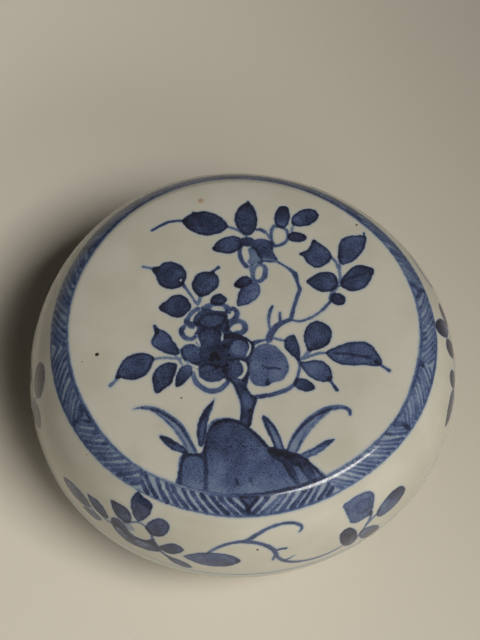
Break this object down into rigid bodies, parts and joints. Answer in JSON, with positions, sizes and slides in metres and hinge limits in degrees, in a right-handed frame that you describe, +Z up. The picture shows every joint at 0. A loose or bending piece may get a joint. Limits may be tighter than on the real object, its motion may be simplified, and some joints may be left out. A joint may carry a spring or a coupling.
{
  "type": "trinket box",
  "caption": "Low round porcelain trinket box: a cushion-shaped lid with a gently domed top, lifted off a shallow footed base.",
  "frame": {"origin": "centre of the foot ring's resting plane", "axes": "+Z up along the box's axis; -Y is the front, the side turned to the viewer"},
  "size_m": [0.08, 0.08, 0.0405],
  "materials": {
    "base_porcelain": "glossy clear glaze over cobalt-blue brush painting on grey-white porcelain; lip, ledge and foot edge left bare",
    "lid_porcelain": "glossy clear glaze over cobalt-blue brush painting on grey-white porcelain; rim left bare"
  },
  "bodies": {
    "base": {"base": "base_porcelain"},
    "lid": {"lid": "lid_porcelain"}
  },
  "joints": [
    {"name": "lid_lift", "type": "slide", "parent": "base", "child": "lid", "axis": [0, 0, 1], "range_m": [0, 0.045]}
  ]
}
